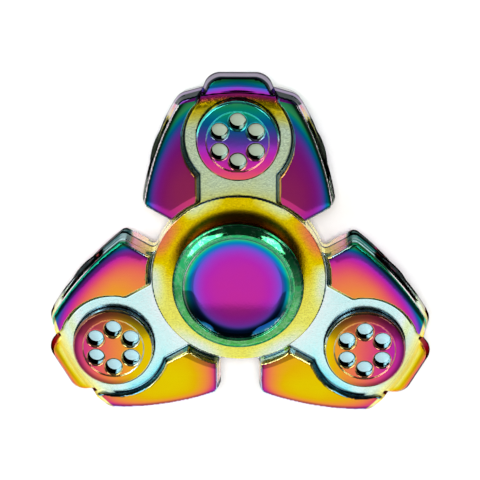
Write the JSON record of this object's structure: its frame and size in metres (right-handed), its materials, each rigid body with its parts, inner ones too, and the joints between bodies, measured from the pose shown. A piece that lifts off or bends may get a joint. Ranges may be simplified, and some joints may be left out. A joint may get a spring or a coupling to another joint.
{
  "type": "fidget spinner",
  "caption": "Metal hand spinner with a rainbow finish: armoured arms around round counterweights, spinning on a small ball bearing between dished finger caps.",
  "frame": {"origin": "centre of the bearing: on the spin axis, half way through the body", "axes": "+Z is the spin axis, out of the top finger cap; +Y runs along arm 1; arms 2 and 3 are 120 and 240 degrees on, anticlockwise seen from +Z"},
  "size_m": [0.0578, 0.0531, 0.013],
  "materials": {
    "rainbow_body": "polished die casting with a heat-tint rainbow plating, matte grain on the hub collar and web",
    "rainbow_disc": "turned disc with the same rainbow plating, bare pale hole floors",
    "rainbow_cap": "mirror polished with a magenta dish and a green rim",
    "bearing_steel": "ground bearing steel",
    "ball_steel": "lapped mirror steel",
    "cage_brass": "machined brass",
    "clip_steel": "drawn spring wire"
  },
  "bodies": {
    "grips": {"finger_cap_top": "rainbow_cap", "finger_cap_bottom": "rainbow_cap", "bearing_inner_race": "bearing_steel"},
    "rotor": {"body": "rainbow_body", "weight_disc_1": "rainbow_disc", "weight_disc_2": "rainbow_disc", "weight_disc_3": "rainbow_disc", "bearing_outer_race": "bearing_steel", "bearing_shield_top": "bearing_steel", "bearing_shield_bottom": "bearing_steel", "shield_clip_top": "clip_steel", "shield_clip_bottom": "clip_steel"},
    "cage_set": {"bearing_cage": "cage_brass", "bearing_ball_01": "ball_steel", "bearing_ball_02": "ball_steel", "bearing_ball_03": "ball_steel", "bearing_ball_04": "ball_steel", "bearing_ball_05": "ball_steel", "bearing_ball_06": "ball_steel", "bearing_ball_07": "ball_steel", "bearing_ball_08": "ball_steel", "bearing_ball_09": "ball_steel", "bearing_ball_10": "ball_steel"}
  },
  "joints": [
    {"name": "rotor_spin", "type": "hinge", "parent": "grips", "child": "rotor", "pos_m": [0, 0, 0], "axis": [0, 0, 1], "continuous": true},
    {"name": "cage_orbit", "type": "hinge", "parent": "grips", "child": "cage_set", "pos_m": [0, 0, 0], "axis": [0, 0, 1], "continuous": true}
  ],
  "couplings": [
    {"joint": "cage_orbit", "follows": "rotor_spin", "ratio": 0.5834}
  ]
}
